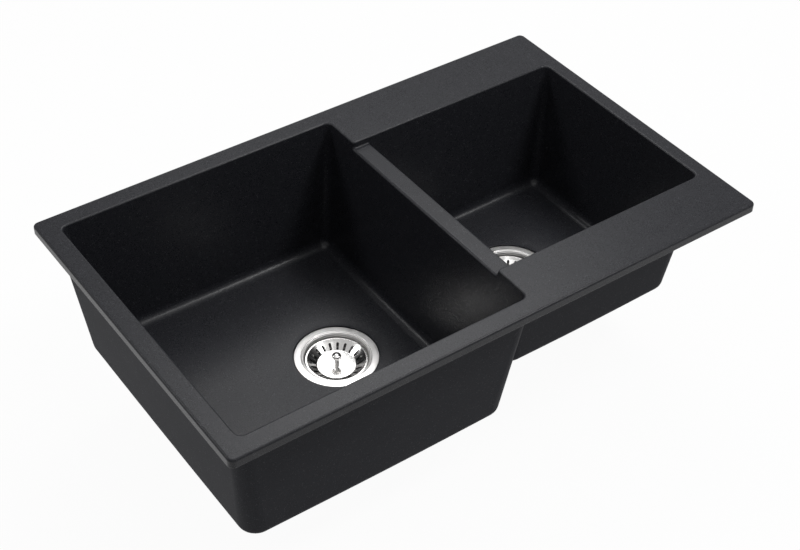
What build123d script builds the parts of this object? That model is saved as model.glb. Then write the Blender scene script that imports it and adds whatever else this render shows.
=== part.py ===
"""Double bowl kitchen sink: one moulded composite basin with a basket strainer waste in each bowl.

Millimetres. The origin is the centre of the rim's seat, the plane that lies on the worktop.
X runs along the length from the large bowl to the small one, Y towards the back, Z up.
"""

from build123d import *
import os
from math import asin, cos, degrees, hypot, radians, tan

os.makedirs("parts", exist_ok=True)

# ------------------------------------------------ rim
left_margin = 26.0  # rim beside the large bowl
right_margin = 22.0  # rim beside the small bowl
end_margin = 27.0  # rim in front of the large bowl and behind it
rim_height = 12.5
rim_corner_radius = 8.0
rim_top_round = 3.0
rim_bottom_round = 1.0
seat_width = 10.0
seat_step = 3.0  # how far the ledges' underside stands above the seat
tap_knockout_radius = 17.5
tap_knockout_depth = 5.0

# ------------------------------------------------ bowls, measured at the rim's top face
large_bowl_length = 399.0
large_bowl_width = 426.0
large_bowl_depth = 196.0  # down to the waste
small_bowl_length = 309.0
small_bowl_width = 310.0
small_bowl_depth = 192.0
divider_width = 24.0
divider_drop = 9.0  # how far the divider's top lies below the rim
divider_web = 14.0  # solid height of the divider, above the gap between the bowls
wall = 10.0
floor_thickness = 9.0
wall_draft = 5.8  # degrees from upright
floor_fall = 2.0  # degrees down to the waste
bowl_corner_radius = 9.0  # at the rim
corner_flare = 6.0  # how much that radius grows down to the floor
floor_round = 14.0
underside_round = 14.0
mouth_round = 2.5
step_round = 4.0  # divider's large side and the two corners where the opening steps
divider_small_round = 2.5
divider_end_round = 2.5
run_out_depth = 30.0  # from the divider's top to where the corners beside it are fully rounded
large_waste_offset = 67.5  # from the bowl's centre towards the small bowl
small_waste_offset = -20.0
flat_radius = 62.0  # level floor round the waste

# ------------------------------------------------ waste, heights from the floor at the waste
sheet = 0.9  # flange and cup
flange_radius = 56.0
flange_drop = 1.0  # flange's inner edge below the floor
flange_edge_drop = 1.6
flange_inner_radius = 46.5
recess_gap = 1.2
recess_depth = 3.3
recess_round = 0.8
waste_hole_radius = 45.0
cup_radius = 42.2
lip_step = 1.6  # how far the lip's lower step stands outside the cup
lip_step_drop = 2.2
lip_drop = 5.2
cup_depth = 24.5  # down to the sealing shoulder
shoulder_slope = 0.2
sump_radius = 29.5
sump_depth = 44.0
lip_round = 1.5
sump_round = 3.0
drain_hole_radius = 5.2
drain_hole_circle = 18.5
drain_hole_count = 8

seal_edge_gap = 0.6
washer_thickness = 3.0
body_flange_radius = 54.0
body_flange_thickness = 3.5
body_wall = 3.0
body_inner_radius = 45.2
body_straight = 32.0  # depth where the body starts to narrow
body_depth = 65.0  # depth where its tail starts
body_shoulder_round = 14.0
body_neck_round = 6.0
tail_radius = 23.9  # outside of a 1 1/2 inch pipe thread
tail_wall = 3.4
tail_length = 30.0
tail_chamfer = 1.5
hub_radius = 8.5
hub_length = 16.0
spoke_count = 4
spoke_thickness = 3.0
spoke_height = 10.0

screw_radius = 2.95
screw_hole_radius = 3.4
screw_head_radius = 5.8
screw_head_height = 2.8
driver_slot_width = 1.4
driver_slot_depth = 1.3
insert_across_flats = 10.0
insert_thickness = 5.0
insert_recess = 0.5  # from the hub's lower end
thread_overrun = 1.5  # how far a thread comes out of its nut

# ------------------------------------------------ basket, stem and plug
basket_sheet = 0.7
basket_rim_radius = 41.0
basket_rim_drop = 7.0
basket_rim_width = 1.8
basket_skirt = 2.2
slot_outer_radius = 36.0
slot_outer_drop = 9.4
basket_base_radius = 26.0
basket_base_drop = 16.4
basket_round = 1.6
slot_count = 20
slot_width = 3.4
slot_margin = 0.7

stem_radius = 3.4
stem_collar_radius = 7.0
stem_collar_thickness = 1.2
spigot_radius = 2.2
spigot_length = 4.4
thread_radius = 2.5
knob_radius = 6.7
knob_dome_radius = 10.0
knob_side_radius = 3.4
knob_top = 2.4

plug_boss_radius = 11.0
plug_boss_height = 3.0
plug_lip_radius = 38.0
plug_lip_thickness = 1.4
plug_fillet = 1.5
plug_guide_gap = 1.2
plug_guide_length = 3.6
plug_washer_radius = 8.5
plug_washer_thickness = 1.0
plug_nut_across_flats = 8.0
plug_nut_thickness = 4.0

# ------------------------------------------------ clearances
overcut = 1.0
seat_gap = 0.3  # between bodies that rest on each other
running_gap = 0.05  # stem in the basket
thread_gap = 0.05  # screwed and pressed joints, radially

# ------------------------------------------------ places that follow from the sizes
rim_length = left_margin + large_bowl_length + divider_width + small_bowl_length + right_margin
rim_width = large_bowl_width + 2 * end_margin
large_x = -rim_length / 2 + left_margin + large_bowl_length / 2
divider_x = large_x + (large_bowl_length + divider_width) / 2
small_x = divider_x + (divider_width + small_bowl_length) / 2
large_floor = rim_height - large_bowl_depth
small_floor = rim_height - small_bowl_depth
divider_top = rim_height - divider_drop
large_waste_x = large_x + large_waste_offset
small_waste_x = small_x + small_waste_offset
wall_slope = tan(radians(wall_draft))
floor_slope = tan(radians(floor_fall))


def inset(height):
    """How far a bowl's wall has come in at this height from its line at the rim's top face."""
    return (rim_height - height) * wall_slope


def bowl_block(x, length, width, floor, waste_x, grow, top, edge_round):
    """A bowl's tapered block, grow outside its inner faces, on a floor that falls to the waste."""
    reach = length + width
    with BuildPart() as block:
        for height in (top, floor - overcut):
            side = 2 * (grow - inset(height))
            flare = corner_flare * (rim_height - height) / (rim_height - floor)
            with BuildSketch(Plane.XY.offset(height)):
                with Locations((x, 0)):
                    RectangleRounded(length + side, width + side, bowl_corner_radius + grow + flare)
        loft(ruled=True)
        with BuildSketch(Plane.XZ.move(Location((waste_x, 0, 0)))):
            with BuildLine():
                Polyline(
                    (0, floor),
                    (flat_radius, floor),
                    (reach, floor + (reach - flat_radius) * floor_slope),
                    (reach, top + overcut),
                    (0, top + overcut),
                    close=True,
                )
            make_face()
        revolve(axis=Axis((waste_x, 0, 0), (0, 0, 1)), mode=Mode.INTERSECT)
        falling_floor = block.faces().filter_by(GeomType.CONE).sort_by(SortBy.AREA)[-1]
        fillet(falling_floor.outer_wire().edges(), edge_round)
    return block.part


large = (large_x, large_bowl_length, large_bowl_width)
small = (small_x, small_bowl_length, small_bowl_width)
brim = rim_height + overcut
shell_top = (seat_step + rim_height) / 2  # inside the rim plate

large_space = bowl_block(*large, large_floor, large_waste_x, 0, brim, floor_round)
small_space = bowl_block(*small, small_floor, small_waste_x, 0, brim, floor_round)
large_shell = bowl_block(
    *large, large_floor - floor_thickness, large_waste_x, wall, shell_top, underside_round
)
small_shell = bowl_block(
    *small, small_floor - floor_thickness, small_waste_x, wall, shell_top, underside_round
)

# The passage over the divider continues the small bowl's front and back walls as one opening. Its
# section holds the rounding of the divider's small side and runs out into the bowl's corners.
small_side = small_x - small_bowl_length / 2
edge_end = divider_top - 2 * divider_small_round
run_out = divider_top - run_out_depth
with BuildPart() as passage:
    for height in (brim, run_out):
        with BuildSketch(Plane.XY.offset(height)):
            with Locations((divider_x, 0)):
                Rectangle(4 * divider_width, small_bowl_width - 2 * inset(height))
    loft(ruled=True)
    with BuildSketch(Plane.XZ):
        with BuildLine():
            FilletPolyline(
                (divider_x - divider_width, brim),
                (divider_x - divider_width, divider_top),
                (small_side + inset(divider_top), divider_top),
                (small_side + inset(edge_end), edge_end),
                (small_side + inset(run_out) + bowl_corner_radius + corner_flare, run_out),
                (divider_x + 2 * divider_width, brim),
                radius=[0, divider_small_round, 0, 0],
            )
            Line((divider_x + 2 * divider_width, brim), (divider_x - divider_width, brim))
        make_face()
    extrude(amount=small_bowl_width, both=True, mode=Mode.INTERSECT)

with BuildPart() as small_opening:
    add(small_space)
    add(passage.part)

# ------------------------------------------------ sink_basin
with BuildPart() as sink_basin:
    with BuildSketch():
        RectangleRounded(rim_length, rim_width, rim_corner_radius)
    extrude(amount=rim_height)
    with BuildSketch():
        RectangleRounded(rim_length - 2 * seat_width, rim_width - 2 * seat_width, rim_corner_radius)
    extrude(amount=seat_step, mode=Mode.SUBTRACT)
    add(large_shell)
    add(small_shell)
    with BuildSketch(Plane.XY.offset(divider_top)):
        with Locations((divider_x, 0)):
            Rectangle(divider_width, small_bowl_width - 2 * bowl_corner_radius)
    extrude(amount=-divider_web)
    add(large_space, mode=Mode.SUBTRACT)
    add(small_opening.part, mode=Mode.SUBTRACT)

    # seat and hole for each waste
    for waste_x, floor in ((large_waste_x, large_floor), (small_waste_x, small_floor)):
        with BuildSketch(Plane.XY.offset(floor)):
            with Locations((waste_x, 0)):
                Circle(flange_radius + recess_gap)
        extrude(amount=-recess_depth, mode=Mode.SUBTRACT)
        fillet(sink_basin.edges(Select.LAST).group_by(Axis.Z)[-1], recess_round)
        with BuildSketch(Plane.XY.offset(floor)):
            with Locations((waste_x, 0)):
                Circle(waste_hole_radius)
        extrude(amount=-floor_thickness - overcut, mode=Mode.SUBTRACT)

    # blind ring under the back ledge, cut through only if the tap is fitted there
    with BuildSketch(Plane.XY.offset(seat_step)):
        with Locations((small_x, (rim_width + small_bowl_width) / 4)):
            Circle(tap_knockout_radius)
    extrude(amount=tap_knockout_depth, mode=Mode.SUBTRACT)

    # the corners where the passage's ends meet the divider, over its top and down its small side
    end_line = small_bowl_width / 2 - inset(divider_top)
    end_edges = sink_basin.edges().filter_by_position(
        Axis.X, divider_x - divider_width, small_side + inset(edge_end)
    ).filter_by_position(Axis.Z, edge_end, divider_top + overcut / 2)
    fillet(
        end_edges.filter_by(lambda edge: abs(abs(edge.center().Y) - end_line) < overcut / 2),
        divider_end_round,
    )

    # one rounding runs along the divider's large side and up the two stepped corners
    large_side = large_x + large_bowl_length / 2
    step_edges = sink_basin.edges().filter_by_position(
        Axis.X, large_side - wall / 5, large_side + wall / 5
    ).filter_by_position(Axis.Y, -small_bowl_width / 2 - overcut, small_bowl_width / 2 + overcut)
    fillet(step_edges.filter_by_position(Axis.Z, divider_top - overcut, rim_height), step_round)
    top_face = sink_basin.faces().filter_by(Plane.XY).group_by(Axis.Z)[-1].sort_by(SortBy.AREA)[-1]
    fillet(top_face.inner_wires()[0].edges(), mouth_round)
    top_face = sink_basin.faces().filter_by(Plane.XY).group_by(Axis.Z)[-1].sort_by(SortBy.AREA)[-1]
    fillet(top_face.outer_wire().edges(), rim_top_round)
    seat = sink_basin.faces().filter_by(Plane.XY).filter_by_position(Axis.Z, -overcut / 2, overcut / 2)
    fillet(seat.sort_by(SortBy.AREA)[-1].outer_wire().edges(), rim_bottom_round)
sink_basin.part.label = "sink_basin"
export_step(sink_basin.part, "parts/sink_basin.step")


# ------------------------------------------------ heights in the waste, from the floor
washer_top = -floor_thickness
body_top = washer_top - washer_thickness
cup_bottom = -sump_depth - sheet
hub_bottom = cup_bottom - hub_length
tail_inner_radius = tail_radius - tail_wall
tail_bottom = -body_depth - tail_length
insert_bottom = hub_bottom + insert_recess
insert_top = insert_bottom + insert_thickness
screw_end = insert_bottom - thread_overrun
collar_top = -basket_base_drop - basket_sheet - seat_gap
plug_top = collar_top - stem_collar_thickness
flange_slope = (flange_edge_drop - flange_drop) / (flange_radius - flange_inner_radius)


def flange_underside(radius):
    """Height of the flange's lower face at this radius."""
    return -flange_drop - (radius - flange_inner_radius) * flange_slope - sheet * hypot(1, flange_slope)


def shoulder(radius):
    """Height of the cup's sealing shoulder at this radius."""
    return -cup_depth - (cup_radius - radius) * shoulder_slope


plug_bottom = shoulder(sump_radius) - plug_guide_length
plug_nut_top = plug_bottom - plug_washer_thickness
plug_nut_bottom = plug_nut_top - plug_nut_thickness
stem_end = plug_nut_bottom - thread_overrun
knob_dome_angle = degrees(
    asin((knob_radius - knob_side_radius) / (knob_dome_radius - knob_side_radius))
)
knob_middle = knob_top - knob_dome_radius + (knob_dome_radius - knob_side_radius) * cos(
    radians(knob_dome_angle)
)
knob_seat = knob_middle - knob_side_radius

for bowl, waste_x, floor in (
    ("large", large_waste_x, large_floor),
    ("small", small_waste_x, small_floor),
):
    level = Plane((waste_x, 0, floor))
    section = Plane(origin=(waste_x, 0, floor), x_dir=(1, 0, 0), z_dir=(0, -1, 0))
    upright = Axis((waste_x, 0, floor), (0, 0, 1))

    # ---------------------------------------- waste_flange: pressed flange, cup and sump
    with BuildPart() as waste_flange:
        with BuildSketch(section):
            with BuildLine():
                FilletPolyline(
                    (flange_radius, -flange_edge_drop),
                    (flange_inner_radius, -flange_drop),
                    (cup_radius + lip_step, -lip_step_drop),
                    (cup_radius, -lip_drop),
                    (cup_radius, shoulder(cup_radius)),
                    (sump_radius, shoulder(sump_radius)),
                    (sump_radius, -sump_depth),
                    (screw_hole_radius, -sump_depth),
                    radius=[lip_round, 0, 0, 0, 0, sump_round],
                )
                offset(amount=sheet, side=Side.LEFT, kind=Kind.INTERSECTION)
            make_face()
        revolve(axis=upright)
        with BuildSketch(level.offset(cup_bottom)):
            with PolarLocations(drain_hole_circle, drain_hole_count):
                Circle(drain_hole_radius)
        extrude(amount=sheet, mode=Mode.SUBTRACT)
    waste_flange.part.label = f"waste_flange_{bowl}"
    export_step(waste_flange.part, f"parts/waste_flange_{bowl}.step")

    # ---------------------------------------- flange_seal: ring between flange and recess
    with BuildPart() as flange_seal:
        inner = flange_inner_radius + seal_edge_gap
        outer = flange_radius - seal_edge_gap
        with BuildSketch(section):
            with BuildLine():
                Polyline(
                    (inner, -recess_depth),
                    (outer, -recess_depth),
                    (outer, flange_underside(outer)),
                    (inner, flange_underside(inner)),
                    close=True,
                )
            make_face()
        revolve(axis=upright)
    flange_seal.part.label = f"flange_seal_{bowl}"
    export_step(flange_seal.part, f"parts/flange_seal_{bowl}.step")

    # ---------------------------------------- body_washer: under the bowl
    with BuildPart() as body_washer:
        with BuildSketch(level.offset(washer_top)):
            Circle(body_flange_radius)
            Circle(waste_hole_radius, mode=Mode.SUBTRACT)
        extrude(amount=-washer_thickness)
    body_washer.part.label = f"body_washer_{bowl}"
    export_step(body_washer.part, f"parts/body_washer_{bowl}.step")

    # ---------------------------------------- waste_body: moulded body with its hub and tail
    with BuildLine() as waterway:
        FilletPolyline(
            (body_inner_radius, body_top),
            (body_inner_radius, -body_straight),
            (tail_inner_radius, -body_depth),
            (tail_inner_radius, tail_bottom),
            radius=[body_shoulder_round, body_neck_round],
        )

    # hub and spokes, as far as the inside of the body
    with BuildPart() as spider:
        with BuildSketch(level.offset(hub_bottom)):
            Circle(hub_radius)
        extrude(amount=hub_length)
        with BuildSketch(level.offset(hub_bottom)):
            with PolarLocations(0, spoke_count // 2, angular_range=180):
                Rectangle(2 * body_inner_radius, spoke_thickness)
        extrude(amount=spoke_height)
        with BuildSketch(section):
            with BuildLine():
                add(waterway.line)
                Polyline(waterway.line @ 1, (0, tail_bottom), (0, body_top), waterway.line @ 0)
            make_face()
        revolve(axis=upright, mode=Mode.INTERSECT)
        with BuildSketch(level.offset(hub_bottom)):
            Circle(screw_hole_radius)
        extrude(amount=hub_length, mode=Mode.SUBTRACT)
        with BuildSketch(level.offset(hub_bottom)):
            RegularPolygon(insert_across_flats / 2 + thread_gap, 6, major_radius=False)
        extrude(amount=insert_top - hub_bottom, mode=Mode.SUBTRACT)

    with BuildPart() as waste_body:
        with BuildSketch(section):
            with BuildLine():
                add(waterway.line)
                offset(amount=body_wall, side=Side.LEFT)
            make_face()
        revolve(axis=upright)
        with BuildSketch(level.offset(body_top)):
            Circle(body_flange_radius)
            Circle(body_inner_radius, mode=Mode.SUBTRACT)
        extrude(amount=-body_flange_thickness)
        with BuildSketch(level.offset(-body_depth)):
            Circle(tail_radius)
            Circle(tail_inner_radius, mode=Mode.SUBTRACT)
        extrude(amount=-tail_length)
        chamfer(waste_body.edges().group_by(Axis.Z)[0].sort_by(SortBy.LENGTH)[-1], tail_chamfer)
        add(spider.part)
    waste_body.part.label = f"waste_body_{bowl}"
    export_step(waste_body.part, f"parts/waste_body_{bowl}.step")

    # ---------------------------------------- insert_nut: brass hexagon in the hub
    with BuildPart() as insert_nut:
        with BuildSketch(level.offset(insert_bottom)):
            RegularPolygon(insert_across_flats / 2, 6, major_radius=False)
            Circle(screw_radius + thread_gap, mode=Mode.SUBTRACT)
        extrude(amount=insert_thickness)
    insert_nut.part.label = f"insert_nut_{bowl}"
    export_step(insert_nut.part, f"parts/insert_nut_{bowl}.step")

    # ---------------------------------------- fixing_screw: draws the body up to the flange
    with BuildPart() as fixing_screw:
        with BuildSketch(level.offset(-sump_depth)):
            Circle(screw_head_radius)
        extrude(amount=screw_head_height)
        fillet(fixing_screw.edges().group_by(Axis.Z)[-1], screw_head_height / 3)
        with BuildSketch(level.offset(-sump_depth + screw_head_height)):
            Rectangle(2 * screw_head_radius, driver_slot_width)
        extrude(amount=-driver_slot_depth, mode=Mode.SUBTRACT)
        with BuildSketch(level.offset(-sump_depth)):
            Circle(screw_radius)
        extrude(amount=screw_end + sump_depth)
        chamfer(fixing_screw.edges().group_by(Axis.Z)[0], screw_radius / 4)
    fixing_screw.part.label = f"fixing_screw_{bowl}"
    export_step(fixing_screw.part, f"parts/fixing_screw_{bowl}.step")

    # ---------------------------------------- basket: pressed strainer with a slotted wall
    with BuildPart() as basket:
        with BuildSketch(section):
            with BuildLine():
                FilletPolyline(
                    (basket_rim_radius, -basket_rim_drop - basket_skirt),
                    (basket_rim_radius, -basket_rim_drop),
                    (basket_rim_radius - basket_rim_width, -basket_rim_drop),
                    (slot_outer_radius, -slot_outer_drop),
                    (basket_base_radius, -basket_base_drop),
                    (stem_radius + running_gap, -basket_base_drop),
                    radius=[0, 0, 0, basket_round],
                )
                offset(amount=basket_sheet, side=Side.LEFT)
            make_face()
        revolve(axis=upright)
        with BuildSketch(level.offset(-basket_rim_drop)):
            with PolarLocations((basket_base_radius + slot_outer_radius) / 2, slot_count):
                SlotOverall(slot_outer_radius - basket_base_radius - 2 * slot_margin, slot_width)
        extrude(amount=-basket_base_drop, mode=Mode.SUBTRACT)
    basket.part.label = f"basket_{bowl}"
    export_step(basket.part, f"parts/basket_{bowl}.step")

    # ---------------------------------------- basket_stem: knob spigot, shaft, collar and thread
    with BuildPart() as basket_stem:
        with BuildSketch(section):
            with BuildLine():
                Polyline(
                    (0, knob_seat + spigot_length),
                    (spigot_radius, knob_seat + spigot_length),
                    (spigot_radius, knob_seat),
                    (stem_radius, knob_seat),
                    (stem_radius, collar_top),
                    (stem_collar_radius, collar_top),
                    (stem_collar_radius, plug_top),
                    (stem_radius, plug_top),
                    (stem_radius, plug_bottom),
                    (thread_radius, plug_bottom),
                    (thread_radius, stem_end),
                    (0, stem_end),
                    close=True,
                )
            make_face()
        revolve(axis=upright)
        chamfer(basket_stem.edges().group_by(Axis.Z)[0], thread_radius / 4)
    basket_stem.part.label = f"basket_stem_{bowl}"
    export_step(basket_stem.part, f"parts/basket_stem_{bowl}.step")

    # ---------------------------------------- basket_knob: flattened ball on the stem's spigot
    with BuildPart() as basket_knob:
        hole_radius = spigot_radius + thread_gap
        hole_top = knob_seat + spigot_length + thread_gap
        with BuildSketch(section):
            with BuildLine():
                dome = JernArc((0, knob_top), (1, 0), knob_dome_radius, -knob_dome_angle)
                side = JernArc(dome @ 1, dome % 1, knob_side_radius, knob_dome_angle - 180)
                Polyline(
                    side @ 1,
                    (hole_radius, knob_seat),
                    (hole_radius, hole_top),
                    (0, hole_top),
                    dome @ 0,
                )
            make_face()
        revolve(axis=upright)
    basket_knob.part.label = f"basket_knob_{bowl}"
    export_step(basket_knob.part, f"parts/basket_knob_{bowl}.step")

    # ---------------------------------------- basket_plug: rubber plug over the cup's shoulder
    with BuildPart() as basket_plug:
        guide_radius = sump_radius - plug_guide_gap
        lip_bottom = shoulder(plug_lip_radius) + seat_gap
        with BuildSketch(section):
            with BuildLine():
                FilletPolyline(
                    (stem_radius, plug_top),
                    (plug_boss_radius, plug_top),
                    (plug_boss_radius, plug_top - plug_boss_height),
                    (plug_lip_radius, lip_bottom + plug_lip_thickness),
                    (plug_lip_radius, lip_bottom),
                    (guide_radius, shoulder(guide_radius) + seat_gap),
                    (guide_radius, plug_bottom),
                    (stem_radius, plug_bottom),
                    radius=[0, plug_fillet, 0, 0, 0, 0],
                )
                Line((stem_radius, plug_bottom), (stem_radius, plug_top))
            make_face()
        revolve(axis=upright)
    basket_plug.part.label = f"basket_plug_{bowl}"
    export_step(basket_plug.part, f"parts/basket_plug_{bowl}.step")

    # ---------------------------------------- plug_washer: under the plug
    with BuildPart() as plug_washer:
        with BuildSketch(level.offset(plug_bottom)):
            Circle(plug_washer_radius)
            Circle(thread_radius + thread_gap, mode=Mode.SUBTRACT)
        extrude(amount=-plug_washer_thickness)
    plug_washer.part.label = f"plug_washer_{bowl}"
    export_step(plug_washer.part, f"parts/plug_washer_{bowl}.step")

    # ---------------------------------------- plug_nut: holds washer and plug on the stem
    with BuildPart() as plug_nut:
        with BuildSketch(level.offset(plug_nut_bottom)):
            RegularPolygon(plug_nut_across_flats / 2, 6, major_radius=False)
            Circle(thread_radius + thread_gap, mode=Mode.SUBTRACT)
        extrude(amount=plug_nut_thickness)
    plug_nut.part.label = f"plug_nut_{bowl}"
    export_step(plug_nut.part, f"parts/plug_nut_{bowl}.step")
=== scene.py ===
import math

import bmesh
import bpy
from mathutils import Matrix, Vector


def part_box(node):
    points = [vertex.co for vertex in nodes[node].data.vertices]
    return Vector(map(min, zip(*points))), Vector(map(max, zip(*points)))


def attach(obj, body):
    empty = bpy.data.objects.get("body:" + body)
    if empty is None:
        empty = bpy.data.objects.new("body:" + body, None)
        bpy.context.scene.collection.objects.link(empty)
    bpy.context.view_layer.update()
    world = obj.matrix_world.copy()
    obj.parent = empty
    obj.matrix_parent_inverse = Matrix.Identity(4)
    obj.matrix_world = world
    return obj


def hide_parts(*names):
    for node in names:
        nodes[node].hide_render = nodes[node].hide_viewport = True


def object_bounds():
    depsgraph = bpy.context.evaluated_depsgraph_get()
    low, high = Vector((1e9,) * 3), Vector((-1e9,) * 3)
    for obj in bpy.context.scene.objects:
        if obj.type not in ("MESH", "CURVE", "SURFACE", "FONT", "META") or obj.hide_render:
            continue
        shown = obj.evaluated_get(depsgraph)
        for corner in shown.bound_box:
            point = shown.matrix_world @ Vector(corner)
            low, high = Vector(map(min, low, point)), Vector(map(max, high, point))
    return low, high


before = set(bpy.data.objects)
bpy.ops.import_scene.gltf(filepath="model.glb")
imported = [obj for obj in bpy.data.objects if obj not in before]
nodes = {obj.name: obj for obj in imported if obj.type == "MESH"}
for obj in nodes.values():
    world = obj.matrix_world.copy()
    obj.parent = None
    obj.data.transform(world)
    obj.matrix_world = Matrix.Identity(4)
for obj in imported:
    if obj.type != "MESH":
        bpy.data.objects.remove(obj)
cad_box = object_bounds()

# The camera, fitted to edges measured in the photograph.
IMAGE_WIDTH = 800
SENSOR_WIDTH = 36.0
FOCAL_PIXELS = 1554.9
CAMERA_AZIMUTH = math.radians(-36.424)
CAMERA_ELEVATION = math.radians(41.310)
CAMERA_ROLL = math.radians(1.411)
CAMERA_DISTANCE = 1.8694
CAMERA_TARGET = Vector((-0.06765, -0.09632, 0.0125))
CAMERA_CLIP = (0.05, 30.0)

# The studio.
LAMP_DISTANCE = 2.4
LAMPS = (  # name, bearing and height in degrees, side in metres, watts
    ("lamp_key", 54.0, 54.0, 1.1, 15.5),
    ("lamp_side", 320.0, 54.0, 0.55, 18.0),
    ("lamp_back", 138.0, 40.0, 0.5, 7.0),
    ("lamp_top", 300.0, 84.0, 1.6, 9.0),
)
FLOOR_REACH = 6.0  # from the middle to each edge
FLOOR_GAP = 0.0005  # below the part's lowest point
FLOOR_COLOUR = (0.62, 0.62, 0.62)
FLOOR_ROUGHNESS = 0.9
FLOOR_GLOW = 1.04
FLOOR_GLOW_SHARE = 0.92  # the rest of what the camera sees is the lit floor, which keeps the shadow
ROOM_LIGHT = 0.13
ROOM_SEEN = 0.6
WHITE = (1.0, 1.0, 1.0, 1.0)

# The basin's composite. Scales of noise and cells are per metre.
BOWL_BORDER = 0.047  # between the bowls, along x
BOWL_MIDDLES = (-0.1645, 0.2135)  # of the large and the small bowl, along x
TURNED_OUT = 0.02  # least distance from the bowl's middle along the normal on an outer side
TURNED_DOWN = -0.3  # upright part of the normal under which a face is on the underside
RIM_UNDERSIDE = 0.0004
GRAIN_SCALE = 850.0
GRAIN_RANGE = (0.34, 0.66)  # the noise at the dark and at the pale tint
GRAIN_TINTS = (0.0100, 0.0104, 0.0132), (0.0370, 0.0382, 0.0450)
GRAIN_BUMP = (0.00012, 0.6)  # depth and strength
FLECK_SCALE = 520.0
FLECK_EDGE = (0.14, 0.26)  # share of a cell's size
FLECK_TINT = (0.13, 0.13, 0.145)
PATCH_SCALE = 180.0
PATCH_RANGE = (0.55, 0.58)  # the noise over which flecks show
CLOUD_SCALE = 30.0
SATIN_ROUGHNESS = (0.275, 0.295)
GRAIN_ROUGHNESS = (-0.03, 0.03)
MATT_ROUGHNESS = 0.40  # added on the outer sides
COMPOSITE_IOR = 1.5
COMPOSITE_SHINE = (0.22, 0.14)  # inside and on top, and on the outer sides
MIDDLE_RANGE = (0.3, 0.7)  # the values that most of a noise lies between

# Steel, rubber and plastic.
STEEL_CLOUD_SCALE = 90.0
STEEL_FINE_SCALE = 2600.0
STEEL_FINE_SHARE = 0.4
STEEL_RANGE = (0.4, 1.0)
STEEL_UNEVENNESS = 1.7  # roughest over smoothest
STEEL_BUMP = (0.000004, 0.4)
MOULDED_CLOUD_SCALE = 60.0
MOULDED_SPREAD = 0.06  # of the roughness, either way
MOULDED_BUMP_STRENGTH = 0.6

# The pressed face of the flange, as radius and height from the bowl's floor in millimetres.
MM = 1000.0
FLANGE_DROP = 0.001  # the flange's highest line below the bowl's floor
FLANGE_FACE = (
    (56.0, -1.6), (55.3, -1.5), (52.0, -1.32), (48.4, -1.12), (47.8, -1.0), (47.3, -0.98),
    (46.9, -1.15), (46.7, -1.5), (46.5, -2.0), (46.1, -2.2), (45.6, -2.05), (45.2, -1.78),
    (44.9, -1.85), (44.7, -2.2), (44.5, -2.75), (44.2, -2.98), (43.8, -2.85), (43.5, -2.78),
    (43.3, -3.0), (43.1, -3.5), (42.8, -3.85), (42.55, -4.2), (42.35, -4.7), (42.2, -5.2),
)
LIP_START = 3  # the row where the satin ring ends and the bright pressed lips start
FLANGE_SIDES = 160
CAD_FLANGE_FACE = ((56.0, -1.6), (46.5, -1.0), (43.8, -2.2), (42.2, -5.2))
FLANGE_FACE_REACH = 0.12  # how near to that line the CAD face's points lie, in millimetres

# Screw threads.
THREADS = (  # kind, radius, depth, pitch, faces round, body, slot
    ("waste_body", 0.0239, 0.0012, 0.00231, 96, "sink", "body_plastic"),
    ("fixing_screw", 0.00295, 0.0005, 0.001, 24, "sink", "steel_fixings"),
    ("basket_stem", 0.0025, 0.0004, 0.0008, 24, "plug_BOWL", "polished_steel"),
)
THREAD_ROWS = 8  # rows of faces in one pitch
THREAD_FLANK = 1.25  # steepness, which leaves flats on the crest and at the root
THREAD_CREST = 0.1
THREAD_REACH = 0.00006  # how near to the radius the CAD face's points lie
SHARP_ANGLE = math.radians(32.0)


class Tree:
    """A node tree with short calls for adding nodes and links."""

    def __init__(self, tree):
        self.tree = tree
        self.tree.nodes.clear()

    def add(self, kind, **settings):
        node = self.tree.nodes.new(kind)
        for key, value in settings.items():
            setattr(node, key, value)
        return node

    def link(self, source, target):
        self.tree.links.new(source, target)

    def span(self, value, low, high, to_low=0.0, to_high=1.0):
        node = self.add("ShaderNodeMapRange", clamp=True)
        limits = {"From Min": low, "From Max": high, "To Min": to_low, "To Max": to_high}
        for key, number in limits.items():
            node.inputs[key].default_value = number
        self.link(value, node.inputs["Value"])
        return node.outputs["Result"]

    def combine(self, operation, one, two):
        node = self.add("ShaderNodeMath", operation=operation)
        for index, value in enumerate((one, two)):
            if isinstance(value, (int, float)):
                node.inputs[index].default_value = value
            else:
                self.link(value, node.inputs[index])
        return node.outputs["Value"]

    def straight(self):
        """1 for the rays that see the backdrop: the camera's, mirrored ones and those let through."""
        path = self.add("ShaderNodeLightPath").outputs
        mirrored = self.combine("MAXIMUM", path["Is Glossy Ray"], path["Is Transmission Ray"])
        return self.combine("MAXIMUM", path["Is Camera Ray"], mirrored)


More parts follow.
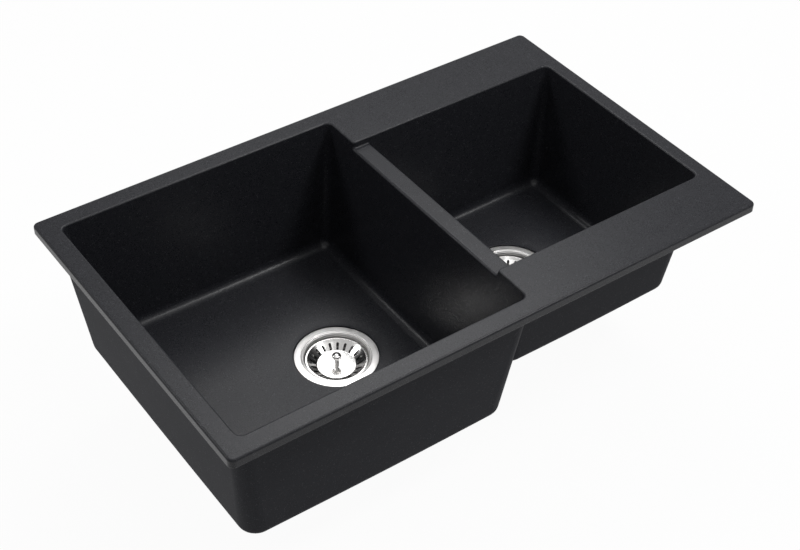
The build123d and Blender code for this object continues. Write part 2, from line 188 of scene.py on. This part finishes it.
class Shader(Tree):
    """The node tree of a new material."""

    def __init__(self, name):
        self.material = bpy.data.materials.new(name)
        self.material.use_nodes = True
        super().__init__(self.material.node_tree)
        self.output = self.add("ShaderNodeOutputMaterial")
        self.surface = self.add("ShaderNodeBsdfPrincipled")
        self.link(self.surface.outputs["BSDF"], self.output.inputs["Surface"])
        coordinates = self.add("ShaderNodeTexCoord")
        self.place = coordinates.outputs["Object"]
        self.facing = coordinates.outputs["Normal"]

    def noise(self, scale, detail=2.0, roughness=0.5):
        node = self.add("ShaderNodeTexNoise")
        node.inputs["Scale"].default_value = scale
        node.inputs["Detail"].default_value = detail
        node.inputs["Roughness"].default_value = roughness
        self.link(self.place, node.inputs["Vector"])
        return node.outputs["Fac"]

    def cells(self, scale):
        """The distance from the middle of the nearest cell."""
        node = self.add("ShaderNodeTexVoronoi")
        node.inputs["Scale"].default_value = scale
        self.link(self.place, node.inputs["Vector"])
        return node.outputs["Distance"]

    def parts(self, vector):
        node = self.add("ShaderNodeSeparateXYZ")
        self.link(vector, node.inputs["Vector"])
        return node.outputs

    def blend(self, factor, one, two):
        node = self.add("ShaderNodeMix", data_type="RGBA")
        self.link(factor, node.inputs["Factor"])
        for key, value in (("A", one), ("B", two)):
            socket = [s for s in node.inputs if s.name == key and s.type == "RGBA"][0]
            if isinstance(value, tuple):
                socket.default_value = (*value, 1.0)
            else:
                self.link(value, socket)
        return [s for s in node.outputs if s.type == "RGBA"][0]

    def bump(self, height, depth, strength):
        node = self.add("ShaderNodeBump")
        node.inputs["Distance"].default_value = depth
        node.inputs["Strength"].default_value = strength
        self.link(height, node.inputs["Height"])
        return node.outputs["Normal"]

    def set(self, key, value):
        socket = self.surface.inputs[key]
        if isinstance(value, (int, float)):
            socket.default_value = value
        elif isinstance(value, tuple):
            socket.default_value = (*value, 1.0)
        else:
            self.link(value, socket)


def outside(s):
    """1 on the basin's outer and under sides, which are left matt, and 0 inside and on top."""
    place, facing = s.parts(s.place), s.parts(s.facing)
    right = s.combine("GREATER_THAN", place["X"], BOWL_BORDER)
    from_middle = s.combine("SUBTRACT", place["X"], s.span(right, 0.0, 1.0, *BOWL_MIDDLES))
    along_x = s.combine("MULTIPLY", facing["X"], from_middle)
    along_y = s.combine("MULTIPLY", facing["Y"], place["Y"])
    turned_out = s.combine("GREATER_THAN", s.combine("ADD", along_x, along_y), TURNED_OUT)
    turned_down = s.combine("LESS_THAN", facing["Z"], TURNED_DOWN)
    below_rim = s.combine("LESS_THAN", place["Z"], RIM_UNDERSIDE)
    return s.combine("MULTIPLY", s.combine("MAXIMUM", turned_out, turned_down), below_rim)


def composite():
    """Black granite composite: resin full of fine quartz grains, a few of them pale."""
    s = Shader("granite_composite")
    matt = outside(s)
    grain = s.noise(GRAIN_SCALE, 4.0, 0.7)
    cloud = s.noise(CLOUD_SCALE, 3.0, 0.55)
    tint = s.blend(s.span(grain, *GRAIN_RANGE), *GRAIN_TINTS)
    dots = s.span(s.cells(FLECK_SCALE), *FLECK_EDGE, 1.0, 0.0)
    chosen = s.span(s.noise(PATCH_SCALE, 1.0), *PATCH_RANGE)
    s.set("Base Color", s.blend(s.combine("MULTIPLY", dots, chosen), tint, FLECK_TINT))
    satin = s.span(cloud, *MIDDLE_RANGE, *SATIN_ROUGHNESS)
    satin = s.combine("ADD", satin, s.span(grain, *MIDDLE_RANGE, *GRAIN_ROUGHNESS))
    s.set("Roughness", s.combine("ADD", satin, s.combine("MULTIPLY", matt, MATT_ROUGHNESS)))
    s.set("IOR", COMPOSITE_IOR)
    s.set("Specular IOR Level", s.span(matt, 0.0, 1.0, *COMPOSITE_SHINE))
    s.set("Normal", s.bump(grain, *GRAIN_BUMP))
    return s.material


def steel(name, colour, rough, wear):
    """Metal with a fine grain and a slightly uneven polish."""
    s = Shader(name)
    cloud = s.noise(STEEL_CLOUD_SCALE, 4.0, 0.6)
    fine = s.noise(STEEL_FINE_SCALE, 2.0, 0.6)
    s.set("Metallic", 1.0)
    worn = tuple(c * (1.0 - wear) for c in colour)
    s.set("Base Color", s.blend(s.span(cloud, *MIDDLE_RANGE), worn, colour))
    uneven = s.combine("ADD", cloud, s.combine("MULTIPLY", fine, STEEL_FINE_SHARE))
    s.set("Roughness", s.span(uneven, *STEEL_RANGE, rough, rough * STEEL_UNEVENNESS))
    s.set("Normal", s.bump(fine, *STEEL_BUMP))
    return s.material


def moulded(name, low, high, rough, scale, depth):
    """Rubber or plastic with a fine moulded texture."""
    s = Shader(name)
    cloud = s.noise(MOULDED_CLOUD_SCALE, 3.0)
    fine = s.noise(scale, 2.0, 0.6)
    s.set("Base Color", s.blend(s.span(cloud, *MIDDLE_RANGE), low, high))
    spread = (rough - MOULDED_SPREAD, rough + MOULDED_SPREAD)
    s.set("Roughness", s.span(fine, *MIDDLE_RANGE, *spread))
    s.set("Normal", s.bump(fine, depth, MOULDED_BUMP_STRENGTH))
    return s.material


stone = composite()
flange_steel = steel("flange_steel", (0.80, 0.79, 0.78), 0.25, 0.02)
polished = steel("polished_steel", (0.78, 0.77, 0.76), 0.13, 0.05)
mirror = steel("bright_steel", (0.80, 0.79, 0.78), 0.07, 0.03)
fixings = steel("steel_fixings", (0.55, 0.54, 0.53), 0.22, 0.15)
brass = steel("brass", (0.70, 0.50, 0.22), 0.24, 0.18)
rubber = moulded("rubber", (0.010, 0.010, 0.010), (0.018, 0.018, 0.018), 0.55, 1500.0, 0.00004)
plastic = moulded("body_plastic", (0.72, 0.72, 0.70), (0.77, 0.77, 0.75), 0.42, 1200.0, 0.00003)

FINISH = {
    "sink_basin": stone,
    "waste_flange": flange_steel,
    "basket_stem": mirror,
    "basket_knob": mirror,
    "basket_plug": rubber,
    "basket": polished,
    "flange_seal": rubber,
    "body_washer": rubber,
    "waste_body": plastic,
    "fixing_screw": fixings,
    "insert_nut": brass,
    "plug_washer": fixings,
    "plug_nut": fixings,
}

for name, thing in nodes.items():
    kind = name.removesuffix("_large").removesuffix("_small")
    thing.data.materials.clear()
    thing.data.materials.append(FINISH[kind])
    for face in thing.data.polygons:
        face.material_index = 0


def turned(mesh, centre, rings, count, material=0):
    """Adds a surface about the upright through centre.

    Each ring tells the radius and the height at a share of a turn.
    """
    rows = []
    for ring in rings:
        row = []
        for step in range(count):
            angle = 2 * math.pi * step / count
            radius, height = ring(step / count)
            x = centre.x + radius * math.cos(angle)
            y = centre.y + radius * math.sin(angle)
            row.append(mesh.verts.new((x, y, centre.z + height)))
        rows.append(row)
    for one, two in zip(rows, rows[1:]):
        for step in range(count):
            after = (step + 1) % count
            face = mesh.faces.new((one[step], one[after], two[after], two[step]))
            face.material_index = material


def finer(node, leaves_out, build, body):
    """A copy of a CAD node, in which build makes anew the faces that leaves_out picks."""
    low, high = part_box(node)
    centre = Vector(((low.x + high.x) / 2, (low.y + high.y) / 2, 0.0))
    mesh = bmesh.new()
    mesh.from_mesh(nodes[node].data)
    for face in mesh.faces:
        face.material_index = 0

    def picked(vertex):
        radius = math.hypot(vertex.co.x - centre.x, vertex.co.y - centre.y)
        return leaves_out(radius, vertex.co.z)

    gone = [face for face in mesh.faces if all(picked(v) for v in face.verts)]
    heights = [v.co.z for face in gone for v in face.verts]
    bmesh.ops.delete(mesh, geom=gone, context="FACES")
    build(mesh, centre, min(heights), max(heights))
    data = bpy.data.meshes.new(node + "_fine")
    mesh.to_mesh(data)
    mesh.free()
    for face in data.polygons:
        face.use_smooth = True
    data.set_sharp_from_angle(angle=SHARP_ANGLE)
    data.materials.clear()
    data.materials.append(nodes[node].data.materials[0])
    data.materials.append(mirror)
    piece = bpy.data.objects.new(node + "_fine", data)
    bpy.context.scene.collection.objects.link(piece)
    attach(piece, body)
    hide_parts(node)


def on_thread(thread_radius):
    """Tells whether a point lies on the CAD cylinder that the thread is cut in."""
    return lambda radius, height: abs(radius - thread_radius) < THREAD_REACH


def thread(radius, depth, pitch, count):
    """The builder of a screw thread between two heights, which fades at both ends."""
    def build(mesh, centre, low, high):
        def ring(height):
            fade = min(1.0, (high - height) / pitch, (height - low) / pitch)

            def at(turn):
                wave = abs(2.0 * (((high - height) / pitch + turn) % 1.0) - 1.0)
                cut = min(1.0, max(0.0, THREAD_FLANK * wave - THREAD_CREST))
                return radius - depth * fade * cut, height
            return at
        rows = round((high - low) / pitch * THREAD_ROWS)
        rings = [ring(high + (low - high) * row / rows) for row in range(rows + 1)]
        turned(mesh, centre, rings, count)
    return build


def on_flange_face(floor):
    """Tells whether a point lies on the CAD flange's upper face, between its edge and the cup."""
    def test(radius, height):
        r, z = radius * MM, (height - floor) * MM
        for (r1, z1), (r2, z2) in zip(CAD_FLANGE_FACE, CAD_FLANGE_FACE[1:]):
            run, fall = r2 - r1, z2 - z1
            share = ((r - r1) * run + (z - z1) * fall) / (run ** 2 + fall ** 2)
            share = min(1.0, max(0.0, share))
            if math.hypot(r - r1 - share * run, z - z1 - share * fall) < FLANGE_FACE_REACH:
                return True
        return False
    return test


def pressed_lips(floor):
    """The builder of the flange's face with its rolled lip and the two steps inside it."""
    def build(mesh, centre, low, high):
        rings = [(lambda turn, r=r, z=z: (r / MM, floor + z / MM)) for r, z in FLANGE_FACE]
        turned(mesh, centre, rings[:LIP_START + 1], FLANGE_SIDES)
        turned(mesh, centre, rings[LIP_START:], FLANGE_SIDES, 1)
    return build


for bowl in ("large", "small"):
    flange = "waste_flange_" + bowl
    floor_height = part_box(flange)[1].z + FLANGE_DROP
    face, lips = on_flange_face(floor_height), pressed_lips(floor_height)
    finer(flange, face, lips, "sink")
    for kind, radius, depth, pitch, count, body, slot in THREADS:
        build = thread(radius, depth, pitch, count)
        finer(kind + "_" + bowl, on_thread(radius), build, body.replace("BOWL", bowl))


def lay_floor():
    """A pale floor that straight rays see as white and that keeps the part's shadow."""
    mesh = bpy.data.meshes.new("floor")
    z = cad_box[0].z - FLOOR_GAP
    corners = [(-1, -1), (1, -1), (1, 1), (-1, 1)]
    mesh.from_pydata([(FLOOR_REACH * x, FLOOR_REACH * y, z) for x, y in corners], [], [(0, 1, 2, 3)])
    floor = bpy.data.objects.new("floor", mesh)
    bpy.context.scene.collection.objects.link(floor)
    s = Shader("floor")
    s.set("Base Color", FLOOR_COLOUR)
    s.set("Roughness", FLOOR_ROUGHNESS)
    s.set("Specular IOR Level", 0.0)
    glow = s.add("ShaderNodeEmission")
    glow.inputs["Color"].default_value = WHITE
    glow.inputs["Strength"].default_value = FLOOR_GLOW
    mix = s.add("ShaderNodeMixShader")
    s.link(s.combine("MULTIPLY", s.straight(), FLOOR_GLOW_SHARE), mix.inputs["Fac"])
    s.link(s.surface.outputs["BSDF"], mix.inputs[1])
    s.link(glow.outputs["Emission"], mix.inputs[2])
    s.link(mix.outputs["Shader"], s.output.inputs["Surface"])
    mesh.materials.append(s.material)


def light_room():
    """A dim even room, which straight rays see as pale."""
    world = bpy.data.worlds.new("studio")
    bpy.context.scene.world = world
    world.use_nodes = True
    tree = Tree(world.node_tree)
    back = tree.add("ShaderNodeBackground")
    back.inputs["Color"].default_value = WHITE
    strength = tree.span(tree.straight(), 0.0, 1.0, ROOM_LIGHT, ROOM_SEEN)
    tree.link(strength, back.inputs["Strength"])
    out = tree.add("ShaderNodeOutputWorld")
    tree.link(back.outputs["Background"], out.inputs["Surface"])


def hang_lamps():
    """Soft square lamps that all face the middle of the part."""
    for title, bearing, height, side, power in LAMPS:
        data = bpy.data.lights.new(title, "AREA")
        data.shape = "SQUARE"
        data.size = side
        data.energy = power
        lamp = bpy.data.objects.new(title, data)
        bpy.context.scene.collection.objects.link(lamp)
        around, above = math.radians(bearing), math.radians(height)
        reach = math.cos(above)
        towards = Vector((math.cos(around) * reach, math.sin(around) * reach, math.sin(above)))
        lamp.location = towards * LAMP_DISTANCE
        lamp.rotation_euler = (-towards).to_track_quat("-Z", "Y").to_euler()


def place_camera():
    """The camera that sees the rim, the bowls and the strainers as the photograph does."""
    a, e, r = CAMERA_AZIMUTH, CAMERA_ELEVATION, CAMERA_ROLL
    back = Vector((math.sin(a) * math.cos(e), -math.cos(a) * math.cos(e), math.sin(e)))
    side = Vector((math.cos(a), math.sin(a), 0.0))
    up = back.cross(side)
    right = math.cos(r) * side + math.sin(r) * up
    top = math.cos(r) * up - math.sin(r) * side
    data = bpy.data.cameras.new("camera")
    data.sensor_width = SENSOR_WIDTH
    data.lens = FOCAL_PIXELS / IMAGE_WIDTH * SENSOR_WIDTH
    data.clip_start, data.clip_end = CAMERA_CLIP
    camera = bpy.data.objects.new("camera", data)
    bpy.context.scene.collection.objects.link(camera)
    turn = Matrix((right, top, back)).transposed().to_4x4()
    camera.matrix_world = Matrix.Translation(CAMERA_TARGET + back * CAMERA_DISTANCE) @ turn
    bpy.context.scene.camera = camera


lay_floor()
light_room()
hang_lamps()
place_camera()
bpy.context.scene.view_settings.view_transform = "Standard"
